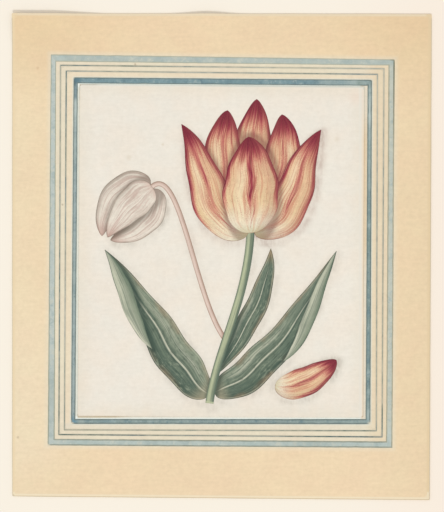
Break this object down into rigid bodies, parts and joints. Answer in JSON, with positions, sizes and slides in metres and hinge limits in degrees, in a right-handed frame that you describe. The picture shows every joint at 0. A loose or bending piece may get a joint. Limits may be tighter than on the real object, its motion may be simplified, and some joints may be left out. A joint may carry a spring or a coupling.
{
  "type": "mounted botanical drawing",
  "caption": "Flower study on off-white paper, pasted on a larger tan mount sheet with a ruled and washed blue border, lying flat.",
  "frame": {"origin": "middle of the mount's back, on the plane that it lies on", "axes": "+Z out of the drawn face, +Y up the drawing, +X to its right"},
  "size_m": [0.3012, 0.3492, 0.0032],
  "materials": {
    "mount_card": "matt tan, toned with age",
    "paste": "dried starch paste",
    "drawing_paper": "matt off-white, faintly spotted",
    "pale_wash": "thin grey-blue watercolour",
    "deep_wash": "brushed blue watercolour",
    "ruled_ink": "thin blue-grey ink",
    "crimson_bodycolour": "matt bodycolour, feathered stripes",
    "peach_bodycolour": "matt bodycolour, feathered stripes",
    "yellow_bodycolour": "matt bodycolour, feathered stripes",
    "mauve_bodycolour": "matt bodycolour, fine veins",
    "grey_bodycolour": "matt bodycolour, fine veins",
    "rose_bodycolour": "matt bodycolour",
    "green_bodycolour": "matt bodycolour, long veins",
    "deep_green_bodycolour": "matt bodycolour, long veins",
    "underside_bodycolour": "matt bodycolour, pale"
  },
  "bodies": {
    "root": {"mount_sheet": "mount_card", "paste_layer": "paste", "drawing_sheet": "drawing_paper", "outer_band_top": "pale_wash", "inner_band_top": "deep_wash", "outer_line_top": "ruled_ink", "inner_line_top": "ruled_ink", "outer_band_right": "pale_wash", "inner_band_right": "deep_wash", "outer_line_right": "ruled_ink", "inner_line_right": "ruled_ink", "outer_band_bottom": "pale_wash", "inner_band_bottom": "deep_wash", "outer_line_bottom": "ruled_ink", "inner_line_bottom": "ruled_ink", "outer_band_left": "pale_wash", "inner_band_left": "deep_wash", "outer_line_left": "ruled_ink", "inner_line_left": "ruled_ink", "painted_petal_front": "crimson_bodycolour", "painted_petal_left": "peach_bodycolour", "painted_petal_right": "peach_bodycolour", "painted_petal_back_left": "yellow_bodycolour", "painted_petal_back_right": "yellow_bodycolour", "painted_petal_back_middle": "yellow_bodycolour", "painted_fallen_petal": "peach_bodycolour", "painted_bud_front": "mauve_bodycolour", "painted_bud_upper": "grey_bodycolour", "painted_bud_lower": "grey_bodycolour", "painted_bud_stalk": "rose_bodycolour", "painted_stem": "green_bodycolour", "painted_leaf_left": "green_bodycolour", "painted_leaf_left_turn": "underside_bodycolour", "painted_leaf_right": "deep_green_bodycolour", "painted_leaf_right_turn": "underside_bodycolour", "painted_leaf_back": "deep_green_bodycolour"}
  },
  "joints": []
}
